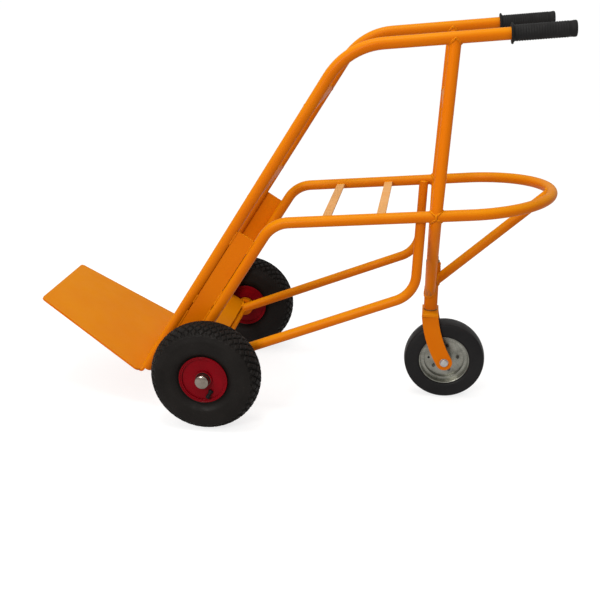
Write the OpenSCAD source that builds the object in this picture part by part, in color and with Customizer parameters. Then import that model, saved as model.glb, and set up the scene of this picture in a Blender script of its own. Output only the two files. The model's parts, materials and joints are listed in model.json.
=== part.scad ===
// Three-wheeled hand truck: two pneumatic wheels under a leaning ladder frame, a
// tubular deck behind it and a swivel caster under the rear legs.
// X runs to the rear, Y to the truck's right, Z up. The truck stands on its three
// wheels, and the origin is on the floor under the middle of its bounding box.

/* [Frame tubes] */
// Outer diameter of every frame tube
tube_d = 25.4; // [22:0.1:28]
// Wall of every frame tube
tube_wall = 2; // [1.5:0.1:3]
// Outer diameter of the lighter tubes, of the lower stays and the brace
light_d = 23; // [20:0.1:25]
// Distance from the middle plane to each rail's centre line
half_w = 188; // [180:1:190]

/* [Rails and handles] */
// Lean of the rails above the floor, in degrees
rail_angle = 58; // [55:1:60]
// How far each rail's foot lies below the axle, along the rail
rail_foot = 102; // [95:1:105]
// Height of the corner where a rail turns into its handle
handle_h = 870; // [850:1:900]
// Rise of the handles, in degrees
handle_rise = 5; // [0:1:8]
// How far behind the axle the handles end
handle_reach = 766; // [740:1:770]
// Bend radius between rail and handle
handle_bend = 150; // [120:5:170]
// Length of a grip
grip_len = 125; // [110:1:140]
// Outer radius of a grip
grip_r = 16.5; // [15:0.1:18]

/* [Side plates and toe plate] */
// Clear gap between a rail and the deck tube behind it
side_gap = 41.6; // [38:0.1:45]
// Thickness of a side plate
side_plate_t = 4; // [3:0.5:5]
// Top end of the side plates, above the axle along the rails
side_plate_top = 320; // [300:1:340]
// Bottom end of the side plates and deck tubes, below the axle along the rails
side_plate_foot = 50; // [40:1:60]
// Length of the toe plate in front of the rails
toe_len = 298; // [260:1:320]
// Half width of the toe plate at the rails
toe_half_rear = 185; // [180:1:190]
// Half width of the toe plate at its front edge
toe_half_front = 135.5; // [120:0.5:180]
// Thickness of the toe plate
toe_t = 5; // [4:0.5:6]
// Height of the toe plate's upturned back edge
toe_upstand = 60; // [50:1:70]

/* [Deck] */
// Height of the deck tubes above the floor, at the axle
deck_h = 471; // [460:1:480]
// Rise of the deck to the rear, in degrees
deck_rise = 4.7; // [3:0.1:6]
// Bend radius where a deck tube turns down along its side plate
deck_bend = 75; // [60:1:90]
// Where the hoop's half circle starts, behind the axle along the deck
hoop_start = 590; // [570:1:600]
// Width of a slat
slat_w = 20; // [15:1:25]
// Thickness of a slat
slat_t = 4; // [3:0.5:6]
// Places of the two slats, behind the axle along the deck
slat_at = [268.5, 391.5];

/* [Stays, legs and brace] */
// How far behind the axle the lower stays turn up to the deck
stay_x = 473.5; // [465:0.5:480]
// Distance from the middle plane to each stay's centre line
stay_half_w = 173; // [170:1:176]
// Height of the stays' lines above the axle, where they pass over it
stay_over = 6; // [4:1:8]
// Slope of the lower stays, in degrees
stay_rise = 21.8; // [20:0.1:24]
// Backward lean of the stays' upper ends, in degrees
stay_lean = 2; // [0:0.5:4]
// Bend radius of the lower stays
stay_bend = 70; // [60:1:80]
// Height at which the two legs' centre lines meet
leg_foot_h = 264; // [255:1:270]
// Height at which a leg turns upright
leg_knee_h = 505; // [500:1:510]
// Backward lean of a leg above its knee, in degrees
leg_lean = 3; // [0:1:5]
// Bend radius of a leg's knee
leg_bend = 80; // [60:1:100]
// Height at which the brace's centre line meets the head tube's
brace_foot_h = 294; // [285:1:298]

/* [Axle and main wheels] */
// Radius of a main tyre, which is also the axle's height
wheel_r = 130; // [125:1:135]
// Width of a main tyre
wheel_w = 85; // [80:1:86]
// Distance from the middle plane to each main wheel's middle
half_track = 250; // [250:1:255]
// Diameter of the axle
axle_d = 16; // [16:1:20]
// Depth of the axle beam, square to the rails
beam_depth = 40; // [35:1:42]
// Height of the axle beam, along the rails
beam_h = 30; // [25:1:35]
// Half length of a main wheel's hub
hub_half = 31; // [29:0.5:33]
// Radius of a main rim's lip
rim_r = 55.5; // [53:0.5:58]

/* [Caster] */
// How far behind the axle the swivel stands
swivel_back = 512; // [505:1:515]
// Distance from the swivel to the caster wheel's axle
trail = 40; // [35:1:45]
// Radius of the caster wheel
caster_r = 100; // [95:1:100]
// Width of the caster wheel
caster_w = 50; // [40:1:52]
// Radius of the swivel stem
stem_r = 8; // [7:0.5:9]
// Top of the fork's crown
crown_top = 228; // [224:1:230]
// Thickness of the fork's flat bar
fork_t = 6; // [5:0.5:7]
// Width of the fork's flat bar
fork_w = 40; // [36:1:42]
// Half of the gap between the fork's legs
fork_gap = 30; // [29:0.5:32]

/* [Hidden] */
$fn = 96;

orange = [0.93, 0.50, 0.03];
crimson = [0.62, 0.04, 0.10];
rubber = [0.10, 0.10, 0.10];
steel = [0.72, 0.72, 0.74];
bronze = [0.62, 0.48, 0.28];

LEFT = -1;
RIGHT = 1;
tube_r = tube_d / 2;
rail_dir = [cos(rail_angle), 0, sin(rail_angle)];
back_dir = [sin(rail_angle), 0, -cos(rail_angle)];
deck_dir = [cos(deck_rise), 0, sin(deck_rise)];
deck_up = [-sin(deck_rise), 0, cos(deck_rise)];
stay_dir = [cos(stay_rise), 0, sin(stay_rise)];
handle_dir = [cos(handle_rise), 0, sin(handle_rise)];

// Square to the rails, the axle lies behind the beam, the beam behind the deck tube's
// lower end, and that end behind the side plate and the rail.
down_leg_back = -(axle_d / 2 + beam_depth + tube_r);
rail_back = down_leg_back - tube_d - side_gap;
rail_front = rail_back - tube_r;
toe_top = -(rail_foot + 22);

// The axle's place makes the bounding box symmetrical about X = 0.
front_reach = (rail_front - toe_len) * sin(rail_angle) + (toe_top - toe_t) * cos(rail_angle);
rear_reach = (hoop_start + half_w) * cos(deck_rise) + tube_r;
axle_x = -(front_reach + rear_reach) / 2;
axle = [axle_x, 0, wheel_r];
swivel_x = axle_x + swivel_back;
caster_x = swivel_x + trail;

head_bottom = crown_top + 3.3;
head_top = 351;
head_r = 16.5;
head_bore = 13.5;
light_r = light_d / 2;
leg_shift = 3.5;
running = 0.05;
fit_gap = 0.05;
seam = 0.01;
axle_end = 294;
cap_end = 300;
cap_r = 16.5;
bolt_r = 5;
collar_from = 201;
collar_r = 23;
hub_r = 21;
hub_bore = 18;
web_z = 25;

function unit(v) = v / norm(v);
function side_on(p, side) = [p[0], side * half_w, p[2]];
function stay_on(p, side) = [p[0], side * stay_half_w, p[2]];
// A point given square to the rails (back) and along them (up), from the axle
function rail_pt(back, up) = axle + back * back_dir + up * rail_dir;
// A point on the deck's middle plane, measured along the deck from above the axle
function deck_pt(along) = [axle_x, 0, deck_h] + along * deck_dir;
// Where the line from p along d crosses the line from q along e, in the XZ plane
function crossing(p, d, q, e) =
    p + d * ((q[0] - p[0]) * e[2] - (q[2] - p[2]) * e[0]) / (d[0] * e[2] - d[2] * e[0]);
function across(d) = unit(cross(d, abs(d[1]) < 0.9 ? [0, 1, 0] : [1, 0, 0]));

handle_corner = rail_pt(rail_back, (handle_h - rail_pt(rail_back, 0)[2]) / sin(rail_angle));
handle_end = handle_corner
    + handle_dir * (axle_x + handle_reach - handle_corner[0]) / cos(handle_rise);
deck_corner = crossing(rail_pt(down_leg_back, 0), rail_dir, deck_pt(0), deck_dir);
stay_foot = axle + [0, 0, stay_over];
stay_corner = stay_foot + stay_dir * stay_x / cos(stay_rise);
stay_top = crossing(stay_corner, [sin(stay_lean), 0, cos(stay_lean)], deck_pt(0), deck_dir);
leg_foot = [swivel_x - leg_shift, 0, leg_foot_h];
leg_knee = [swivel_x, 0, leg_knee_h];
leg_top = crossing(leg_knee, [sin(leg_lean), 0, cos(leg_lean)], handle_corner, handle_dir);
leg_at_deck = crossing(deck_pt(0), deck_dir, leg_knee, [0, 0, 1]);
hoop_apex = deck_pt(hoop_start + half_w);

// Places children with their x and z axes along the given unit vectors
module oriented(p, x, z) {
    y = cross(z, x);
    multmatrix([
        [x[0], y[0], z[0], p[0]],
        [x[1], y[1], z[1], p[1]],
        [x[2], y[2], z[2], p[2]],
        [0, 0, 0, 1]]) children();
}

// Round bar from p to q
module bar(p, q, r) {
    d = unit(q - p);
    oriented(p, across(d), d) cylinder(h = norm(q - p), r = r);
}

// Straight frame tube from p to q
module tube(p, q, r = tube_r) {
    d = unit(q - p);
    difference() {
        bar(p, q, r);
        bar(p - d, q + d, r - tube_wall);
    }
}

// Part of a ring of frame tube about the z axis, from the x axis round by turn
module tube_bend(bend, turn, r = tube_r) {
    rotate_extrude(angle = turn) translate([bend, 0]) difference() {
        circle(r);
        circle(r - tube_wall);
    }
}

// Frame tube along three points, with a bend of radius bend at the middle one
module bent_tube(p, q, s, bend, r = tube_r) {
    d1 = unit(q - p);
    d2 = unit(s - q);
    turn = acos(d1 * d2);
    t = bend * tan(turn / 2);
    inward = unit(d2 - d1 * (d1 * d2));
    tube(p, q - d1 * (t + seam), r);
    oriented(q - d1 * t + inward * bend, -inward, unit(cross(d1, d2))) tube_bend(bend, turn, r);
    tube(q + d2 * (t + seam), s, r);
}

module bar_y(p, y1, y2, r) {
    translate([p[0], y1, p[2]]) rotate([-90, 0, 0]) cylinder(h = y2 - y1, r = r);
}

// Ring about a line along Y, from y1 to y2
module ring_y(p, y1, y2, r, bore) {
    difference() {
        bar_y(p, y1, y2, r);
        bar_y(p, y1 - 1, y2 + 1, bore);
    }
}

// Turns a profile drawn as [radius, distance along Y] into a solid about a line along Y
module turned_y(p) {
    translate(p) rotate([-90, 0, 0]) rotate_extrude() children();
}

module round_rect(x1, x2, y1, y2, r) {
    translate([x1, y1 + r]) square([x2 - x1, y2 - y1 - 2 * r]);
    translate([x1 + r, y1]) square([x2 - x1 - 2 * r, y2 - y1]);
    for (x = [x1 + r, x2 - r], y = [y1 + r, y2 - r]) translate([x, y]) circle(r);
}

// Block in the rails' own directions, from the axle
module rail_block(back1, back2, up1, up2, y1, y2) {
    oriented(rail_pt(back1, up1), back_dir, rail_dir)
        translate([0, y1, 0]) cube([back2 - back1, y2 - y1, up2 - up1]);
}

/* ---- frame ---- */

module rail(side) {
    color(orange) bent_tube(side_on(rail_pt(rail_back, -rail_foot), side),
        side_on(handle_corner, side), side_on(handle_end, side), handle_bend);
}

// Room for a rail's straight part in the pieces fitted against it
module rail_seat(side) {
    bar(side_on(rail_pt(rail_back, -rail_foot), side), side_on(handle_corner, side),
        tube_r + fit_gap);
}

module grip(side) {
    tip = side_on(handle_end, side);
    color(rubber) difference() {
        union() {
            bar(tip - handle_dir * grip_len, tip + handle_dir * 4, grip_r);
            bar(tip - handle_dir * grip_len, tip - handle_dir * (grip_len - 5), grip_r + 5);
        }
        bar(tip - handle_dir * (grip_len + 1), tip, tube_r);
    }
}

module rail_cross_bar(up) {
    at = rail_pt(rail_back, up);
    color(orange) difference() {
        ring_y(at, -half_w, half_w, light_r, light_r - tube_wall);
        for (side = [LEFT, RIGHT]) rail_seat(side);
    }
}

module side_plate(side) {
    y1 = side * half_w + (side > 0 ? 3 : -3 - side_plate_t);
    color(orange) rail_block(rail_back + tube_r - 0.3, down_leg_back - tube_r + 0.3,
        -side_plate_foot, side_plate_top, y1, y1 + side_plate_t);
}

module toe_plate() {
    back = rail_front;
    front = rail_front - toe_len;
    inner_bend = 5;
    corner = 11;
    half_up = half_w - tube_r + 2;
    color(orange) difference() {
        union() {
            // flat blade with rounded corners, tapering to the front
            oriented(rail_pt(0, toe_top - toe_t), back_dir, rail_dir) linear_extrude(toe_t)
                difference() {
                    polygon([[back, -toe_half_rear], [back, toe_half_rear],
                        [front, toe_half_front], [front, -toe_half_front]]);
                    for (m = [0, 1]) mirror([0, m]) {
                        toe_corner_cut([back, toe_half_rear], [1, 0],
                            [front - back, toe_half_front - toe_half_rear], corner);
                        toe_corner_cut([front, toe_half_front], [-1, 0],
                            [back - front, toe_half_rear - toe_half_front], corner);
                    }
                }
            // bend and upstand between the rails
            oriented(rail_pt(back, toe_top + inner_bend), back_dir, rail_dir)
                rotate([90, 0, 0]) translate([0, 0, -half_up]) linear_extrude(2 * half_up)
                    intersection() {
                        difference() {
                            circle(inner_bend + toe_t);
                            circle(inner_bend);
                        }
                        translate([0, -20]) square(20);
                    }
            rail_block(back + inner_bend, back + inner_bend + toe_t, toe_top + inner_bend,
                toe_top + toe_upstand, -half_up, half_up);
        }
        for (side = [LEFT, RIGHT]) rail_seat(side);
    }
}

// What a rounded corner removes: the corner at p between an edge along Y and an edge
// along e, where out points away from the blade
module toe_corner_cut(p, out, e, r) {
    d = unit(e);
    inner = acos(-d[1]);
    t = r / tan(inner / 2);
    q = p + [0, -t];
    s = p + d * t;
    centre = q - out * r;
    difference() {
        polygon([p + out * 0.01 + [0, 0.01], q + out * 0.01, centre, s + [0, 0.01]]);
        translate(centre) circle(r);
    }
}

// Room for the upright part of a leg in the deck tubes fitted against it
module leg_seat(side) {
    translate(side_on(leg_at_deck, side) - [0, 0, 40]) cylinder(h = 80, r = tube_r + fit_gap);
}

// Room for a deck tube's straight part in the pieces fitted against it
module deck_seat(side) {
    bar(side_on(deck_pt(0), side), side_on(leg_at_deck, side), tube_r + fit_gap);
}

module deck_rail(side) {
    color(orange) difference() {
        bent_tube(side_on(rail_pt(down_leg_back, -side_plate_foot), side),
            side_on(deck_corner, side), side_on(leg_at_deck, side), deck_bend);
        leg_seat(side);
    }
}

module rear_hoop() {
    color(orange) {
        for (side = [LEFT, RIGHT]) difference() {
            tube(side_on(leg_at_deck, side), side_on(deck_pt(hoop_start - seam), side));
            leg_seat(side);
        }
        oriented(deck_pt(hoop_start), [0, -1, 0], deck_up) tube_bend(half_w, 180);
    }
}

module slat(along) {
    color(orange) difference() {
        oriented(deck_pt(along), deck_dir, deck_up)
            translate([-slat_w / 2, -half_w, -slat_t / 2]) cube([slat_w, 2 * half_w, slat_t]);
        for (side = [LEFT, RIGHT]) deck_seat(side);
    }
}

// The stays meet the deck tubes from below and inboard
module lower_stay(side) {
    color(orange) difference() {
        bent_tube(stay_on(stay_foot, side), stay_on(stay_corner, side),
            stay_on(stay_top, side), stay_bend, light_r);
        deck_seat(side);
        bar_y(axle, -half_track, half_track, axle_d / 2);
        rail_block(-axle_d / 2 - beam_depth, -axle_d / 2, -beam_h, beam_h,
            -half_track, half_track);
    }
}

// Room for the head tube in the pieces fitted against it
module head_seat() {
    translate([swivel_x, 0, head_bottom - 20]) cylinder(h = 180, r = head_r + fit_gap);
}

module leg(side) {
    color(orange) difference() {
        bent_tube(leg_foot, side_on(leg_knee, side), side_on(leg_top, side), leg_bend);
        bar(side_on(leg_top - handle_dir * 40, side), side_on(leg_top + handle_dir * 40, side),
            tube_r + fit_gap);
        head_seat();
    }
}

module leg_cross_bar() {
    at = leg_knee + (leg_top - leg_knee) * 0.6;
    color(orange) difference() {
        ring_y(at, -half_w, half_w, tube_r - 1.5, tube_r - 1.5 - tube_wall);
        for (side = [LEFT, RIGHT])
            bar(side_on(leg_knee, side), side_on(leg_top, side), tube_r + fit_gap);
    }
}

module head_tube() {
    color(orange) translate([swivel_x, 0, head_bottom]) difference() {
        cylinder(h = head_top - head_bottom, r = head_r);
        translate([0, 0, -1]) cylinder(h = head_top, r = head_bore);
    }
}

// Flanged bush, with its flange outside the head tube's end
module head_bush(z, up) {
    color(bronze) translate([swivel_x, 0, z]) rotate([up ? 0 : 180, 0, 0]) difference() {
        union() {
            cylinder(h = 3, r = head_r);
            translate([0, 0, -18]) cylinder(h = 18, r = head_bore);
        }
        translate([0, 0, -19]) cylinder(h = 30, r = stem_r + running);
    }
}

module brace_tube() {
    foot = [swivel_x, 0, brace_foot_h];
    color(orange) difference() {
        tube(foot, hoop_apex, light_r);
        head_seat();
        oriented(deck_pt(hoop_start), deck_dir, deck_up) rotate([0, 0, -30])
            rotate_extrude(angle = 60) translate([half_w, 0]) circle(tube_r + fit_gap);
    }
}

/* ---- axle ---- */

module axle_beam() {
    wall = 3;
    front = -axle_d / 2 - beam_depth;
    color(orange) difference() {
        rail_block(front, -axle_d / 2, -beam_h / 2, beam_h / 2, -200, 200);
        rail_block(front + wall, -axle_d / 2 - wall, wall - beam_h / 2, beam_h / 2 - wall,
            -201, 201);
    }
}

module axle_shaft() {
    color(steel) bar_y(axle, -axle_end, axle_end, axle_d / 2);
}

module axle_collar(side) {
    outer = half_track - hub_half - 0.5;
    color(orange) ring_y(axle, side > 0 ? collar_from : -outer,
        side > 0 ? outer : -collar_from, collar_r, axle_d / 2);
}

module axle_washers() {
    y = half_track + hub_half + 0.3;
    color(steel) {
        ring_y(axle, -y - 1.5, -y, 14, axle_d / 2);
        ring_y(axle, y, y + 1.5, 14, axle_d / 2);
    }
}

module axle_cap(side) {
    from = half_track + hub_half + 1.8;
    dome_r = 40;
    color(steel) translate(axle) rotate([side > 0 ? -90 : 90, 0, 0]) difference() {
        intersection() {
            translate([0, 0, from]) cylinder(h = cap_end - from, r = cap_r);
            translate([0, 0, cap_end - dome_r]) sphere(dome_r);
        }
        translate([0, 0, from - 1]) cylinder(h = axle_end - from + 1, r = axle_d / 2);
    }
}

/* ---- main wheels ---- */

module wheel_at(side) {
    translate([axle[0], side * half_track, axle[2]])
        rotate([side > 0 ? -90 : 90, 0, 0]) children();
}

module tyre(side) {
    half = wheel_w / 2;
    crown = 62;
    color(rubber) wheel_at(side) rotate_extrude() difference() {
        union() {
            intersection() {
                round_rect(rim_r + 2, wheel_r, -half, half, 25);
                translate([wheel_r - crown, 0]) circle(crown);
            }
            translate([rim_r - 3, -29]) square([18, 58]);
        }
        round_rect(rim_r + 4, wheel_r - 10, 8 - half, half - 8, 18);
        translate([rim_r - 4, -20]) square([18, 40]);
    }
}

module inner_tube(side) {
    middle = (rim_r + 4 + wheel_r - 10) / 2;
    color(rubber) wheel_at(side) rotate_extrude() translate([middle, 0]) difference() {
        circle(27);
        circle(24.5);
    }
}

// Pressed half of a rim: web, half barrel, flange and rolled lip
module rim_half(side, out) {
    color(crimson) wheel_at(side) mirror([0, 0, out > 0 ? 0 : 1]) rotate_extrude() {
        translate([hub_r, web_z]) square([rim_r - 3 - hub_r, 2]);
        translate([rim_r - 5, 0]) square([2, 31]);
        translate([rim_r - 5, 29]) square([5, 2]);
        translate([rim_r, 31]) circle(2);
    }
}

module hub(side) {
    color(crimson) wheel_at(side) difference() {
        translate([0, 0, -hub_half]) cylinder(h = 2 * hub_half, r = hub_r);
        translate([0, 0, -hub_half - 1]) cylinder(h = 2 * hub_half + 2, r = hub_bore);
    }
}

module bearings(side) {
    width = 11;
    color(steel) wheel_at(side) for (z = [-hub_half, hub_half - width])
        translate([0, 0, z]) difference() {
            cylinder(h = width, r = hub_bore);
            translate([0, 0, -1]) cylinder(h = width + 2, r = axle_d / 2 + running);
        }
}

module valve(side) {
    color(rubber) wheel_at(side) rotate([0, 0, side * 60]) translate([34, 0, web_z + 2]) {
        cylinder(h = 8, r = 4);
        translate([0, 0, 8]) cylinder(h = 6, r = 4.8);
    }
}

/* ---- caster ---- */

caster_axle = [caster_x, 0, caster_r];
crown_bend = 8;
fork_top = crown_top - crown_bend;

// Outline of one fork leg in the XZ plane: an arc from under the crown to the bolt
module fork_outline() {
    arc_r = 300;
    start = [swivel_x, fork_top];
    end = [caster_x, caster_r];
    chord = norm(end - start);
    d = (end - start) / chord;
    centre = (start + end) / 2 + [-d[1], d[0]] * sqrt(arc_r * arc_r - chord * chord / 4);
    a1 = atan2(start[1] - centre[1], start[0] - centre[0]);
    a2 = atan2(end[1] - centre[1], end[0] - centre[0]);
    far = arc_r * 1.5;
    intersection() {
        translate(centre) difference() {
            circle(arc_r + fork_w / 2, $fn = 720);
            circle(arc_r - fork_w / 2, $fn = 720);
        }
        polygon([centre, centre + far * [cos(a1), sin(a1)], centre + far * [cos(a2), sin(a2)]]);
    }
    translate(end) circle(fork_w / 2);
}

module fork() {
    outer = fork_gap + fork_t;
    color(orange) difference() {
        union() {
            translate([swivel_x - fork_w / 2, crown_bend - outer, crown_top - fork_t])
                cube([fork_w, 2 * (outer - crown_bend), fork_t]);
            for (m = [0, 1]) mirror([0, m, 0]) {
                translate([0, outer, 0]) rotate([90, 0, 0])
                    linear_extrude(fork_t) fork_outline();
                translate([swivel_x - fork_w / 2, outer - crown_bend, fork_top])
                    rotate([90, 0, 90]) linear_extrude(fork_w) intersection() {
                        difference() {
                            circle(crown_bend);
                            circle(crown_bend - fork_t);
                        }
                        square(20);
                    }
            }
        }
        bar_y(caster_axle, -50, 50, bolt_r);
        translate([swivel_x, 0, crown_top - 20]) cylinder(h = 40, r = stem_r);
    }
}

module fork_stem() {
    color(steel) translate([swivel_x, 0, crown_top - fork_t])
        cylinder(h = head_top + 16 - crown_top + fork_t, r = stem_r);
}

module stem_washer() {
    color(steel) translate([swivel_x, 0, head_top + 3.3]) difference() {
        cylinder(h = 2, r = 12);
        translate([0, 0, -1]) cylinder(h = 4, r = stem_r);
    }
}

module stem_nut() {
    color(steel) translate([swivel_x, 0, head_top + 5.3]) difference() {
        cylinder(h = 8, r = 13.86, $fn = 6);
        translate([0, 0, -1]) cylinder(h = 10, r = stem_r);
    }
}

module caster_bolt() {
    outer = fork_gap + fork_t;
    color(steel) {
        bar_y(caster_axle, -outer, outer + 10, bolt_r);
        translate([caster_x, -outer, caster_r]) rotate([90, 0, 0])
            cylinder(h = 6.5, r = 9.8, $fn = 6);
    }
}

module caster_nut() {
    outer = fork_gap + fork_t;
    color(steel) translate([caster_x, outer, caster_r]) rotate([-90, 0, 0]) difference() {
        cylinder(h = 8, r = 9.8, $fn = 6);
        translate([0, 0, -1]) cylinder(h = 10, r = bolt_r);
    }
}

module caster_spacers() {
    color(steel) {
        ring_y(caster_axle, -fork_gap, 1 - fork_gap, 9, bolt_r);
        ring_y(caster_axle, fork_gap - 1, fork_gap, 9, bolt_r);
    }
}

caster_hub_half = fork_gap - 1.4;
caster_rim_r = 66;
caster_hub_r = 19;
caster_hub_bore = 15;

module caster_tyre() {
    half = caster_w / 2;
    color(rubber) turned_y(caster_axle) difference() {
        intersection() {
            round_rect(caster_rim_r - 8, caster_r, -half, half, 12);
            translate([caster_r - 80, 0]) circle(80);
        }
        translate([0, -half - 1]) square([caster_rim_r - 5, caster_w + 2]);
        // room for the rim's lips
        for (y = [-half - 1, 16.9]) translate([0, y]) square([caster_rim_r - 2.9, half - 15.9]);
    }
}

// Pressed disc: flat web on the middle plane, well and outer barrel with two lips
module caster_rim() {
    well = 51;
    color(steel) difference() {
        turned_y(caster_axle) {
            translate([caster_hub_r, -1.5]) square([well - caster_hub_r, 3]);
            translate([well - 1, -9]) square([2, 18]);
            for (y = [-9, 7]) translate([well - 1, y]) square([caster_rim_r - 6 - well, 2]);
            for (m = [0, 1]) mirror([0, m]) {
                translate([caster_rim_r - 7, 7]) square([2, 12]);
                translate([caster_rim_r - 5, 19]) circle(2);
            }
        }
        translate(caster_axle) rotate([0, -183, 0]) translate([38, 0, 0])
            rotate([90, 0, 0]) cylinder(h = 10, r = 3, center = true);
    }
}

module caster_hub() {
    color(steel) ring_y(caster_axle, -caster_hub_half, caster_hub_half, caster_hub_r,
        caster_hub_bore);
}

module caster_bearings() {
    width = 9;
    color(steel) for (y = [-caster_hub_half, caster_hub_half - width])
        ring_y(caster_axle, y, y + width, caster_hub_bore, bolt_r + running);
}

module caster_rivets() {
    count = 5;
    color(steel) translate(caster_axle) for (i = [0 : count - 1])
        rotate([0, -(6 + i * 360 / count), 0]) translate([34, 0, 0]) for (m = [0, 1])
            mirror([0, m, 0]) rotate([90, 0, 0]) translate([0, 0, 1.5])
                cylinder(h = 3, r = 4);
}

rail(LEFT);  // rail_left
rail(RIGHT);  // rail_right
grip(LEFT);  // grip_left
grip(RIGHT);  // grip_right
rail_cross_bar(170);  // cross_bar_lower
rail_cross_bar(400);  // cross_bar_middle
rail_cross_bar(640);  // cross_bar_upper
leg_cross_bar();
side_plate(LEFT);  // side_plate_left
side_plate(RIGHT);  // side_plate_right
deck_rail(LEFT);  // deck_rail_left
deck_rail(RIGHT);  // deck_rail_right
rear_hoop();
slat(slat_at[0]);  // slat_front
slat(slat_at[1]);  // slat_rear
lower_stay(LEFT);  // lower_stay_left
lower_stay(RIGHT);  // lower_stay_right
leg(LEFT);  // leg_left
leg(RIGHT);  // leg_right
head_tube();
head_bush(head_top, true);  // head_bush_upper
head_bush(head_bottom, false);  // head_bush_lower
brace_tube();
toe_plate();
axle_beam();
axle_shaft();
axle_collar(LEFT);  // axle_collar_left
axle_collar(RIGHT);  // axle_collar_right
axle_washers();
axle_cap(LEFT);  // axle_cap_left
axle_cap(RIGHT);  // axle_cap_right
tyre(LEFT);  // tyre_left
tyre(RIGHT);  // tyre_right
inner_tube(LEFT);  // inner_tube_left
inner_tube(RIGHT);  // inner_tube_right
rim_half(LEFT, 1);  // rim_outer_left
rim_half(RIGHT, 1);  // rim_outer_right
rim_half(LEFT, -1);  // rim_inner_left
rim_half(RIGHT, -1);  // rim_inner_right
hub(LEFT);  // hub_left
hub(RIGHT);  // hub_right
bearings(LEFT);  // bearings_left
bearings(RIGHT);  // bearings_right
valve(LEFT);  // valve_left
valve(RIGHT);  // valve_right
fork();
fork_stem();
stem_washer();
stem_nut();
caster_bolt();
caster_nut();
caster_spacers();
caster_tyre();
caster_rim();
caster_hub();
caster_bearings();
caster_rivets();
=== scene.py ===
import json
import math
import random

import bpy
import numpy as np
from mathutils import Matrix, Vector


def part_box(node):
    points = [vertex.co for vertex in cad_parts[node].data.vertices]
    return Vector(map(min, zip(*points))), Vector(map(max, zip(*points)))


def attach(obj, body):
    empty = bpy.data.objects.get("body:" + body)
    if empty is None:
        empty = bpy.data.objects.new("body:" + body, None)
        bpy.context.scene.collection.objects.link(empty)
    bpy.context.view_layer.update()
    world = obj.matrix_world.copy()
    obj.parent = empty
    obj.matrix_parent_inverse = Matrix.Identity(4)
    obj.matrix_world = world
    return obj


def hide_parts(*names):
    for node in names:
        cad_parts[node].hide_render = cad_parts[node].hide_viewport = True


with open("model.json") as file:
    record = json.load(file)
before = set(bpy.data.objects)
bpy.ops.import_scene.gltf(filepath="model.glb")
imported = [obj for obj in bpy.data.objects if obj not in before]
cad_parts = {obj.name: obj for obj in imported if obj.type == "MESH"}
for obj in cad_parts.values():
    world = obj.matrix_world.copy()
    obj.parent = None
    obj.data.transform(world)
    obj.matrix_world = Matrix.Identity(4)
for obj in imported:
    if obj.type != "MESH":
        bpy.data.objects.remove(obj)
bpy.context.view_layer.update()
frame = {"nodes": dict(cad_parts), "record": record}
nodes = frame["nodes"]
random.seed(7)

# ---- the design's own directions and places, in metres ----

LEFT, RIGHT = -1, 1
SIDES = {"left": LEFT, "right": RIGHT}
TUBE_R = 0.0127
LIGHT_R = 0.0115
HALF_W = 0.188
STAY_HALF_W = 0.173
RAIL_ANGLE = math.radians(58)
DECK_RISE = math.radians(4.7)
HANDLE_RISE = math.radians(5)
STAY_RISE = math.radians(21.8)
BEAM_BACK = -0.008
DOWN_LEG_BACK = -0.0607
RAIL_BACK = -0.1277
HOOP_START = 0.590
DECK_Z = 0.471

shaft_low, shaft_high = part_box("axle_shaft")
AXLE = (shaft_low + shaft_high) / 2
head_low, head_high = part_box("head_tube")
SWIVEL_X = (head_low.x + head_high.x) / 2
HEAD_R = (head_high.x - head_low.x) / 2
bolt_low, bolt_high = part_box("caster_bolt")
CASTER = Vector(((bolt_low.x + bolt_high.x) / 2, 0, (bolt_low.z + bolt_high.z) / 2))

RAIL_DIR = Vector((math.cos(RAIL_ANGLE), 0, math.sin(RAIL_ANGLE)))
BACK_DIR = Vector((math.sin(RAIL_ANGLE), 0, -math.cos(RAIL_ANGLE)))
DECK_DIR = Vector((math.cos(DECK_RISE), 0, math.sin(DECK_RISE)))
DECK_UP = Vector((-math.sin(DECK_RISE), 0, math.cos(DECK_RISE)))
STAY_DIR = Vector((math.cos(STAY_RISE), 0, math.sin(STAY_RISE)))
HANDLE_DIR = Vector((math.cos(HANDLE_RISE), 0, math.sin(HANDLE_RISE)))
Y = Vector((0, 1, 0))
Z = Vector((0, 0, 1))


def rail_pt(back, up, y=0.0):
    """A point given square to the rails and along them, from the axle."""
    return AXLE + back * BACK_DIR + up * RAIL_DIR + y * Y


def deck_pt(along, y=0.0):
    """A point on the deck's middle plane, measured along the deck from above the axle."""
    return Vector((AXLE.x, 0, DECK_Z)) + along * DECK_DIR + y * Y


def smooth(a, b, x):
    """0 up to a and 1 from b on, with an eased step between."""
    t = np.clip((x - a) / (b - a), 0, 1)
    return t * t * (3 - 2 * t)


# ---- meshes ----

def piece(name, verts, faces, body, material):
    """A smooth-shaded mesh that rides on a body and fills a material slot."""
    mesh = bpy.data.meshes.new(name)
    mesh.from_pydata([tuple(v) for v in verts], [], [tuple(int(i) for i in f) for f in faces])
    mesh.update()
    mesh.validate()
    mesh.polygons.foreach_set("use_smooth", [True] * len(mesh.polygons))
    mesh.materials.append(material)
    obj = bpy.data.objects.new(name, mesh)
    bpy.context.scene.collection.objects.link(obj)
    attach(obj, body)
    return obj


def sharpen(obj, degrees=35):
    """Smooth shading that keeps edges sharper than the given angle."""
    mesh = obj.data
    limit = math.cos(math.radians(degrees))
    faces_of = {}
    for p in mesh.polygons:
        for k in p.edge_keys:
            faces_of.setdefault(k, []).append(p.index)
    for e in mesh.edges:
        f = faces_of.get(tuple(sorted(e.vertices)), [])
        if len(f) == 2:
            e.use_edge_sharp = mesh.polygons[f[0]].normal.dot(mesh.polygons[f[1]].normal) < limit


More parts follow.
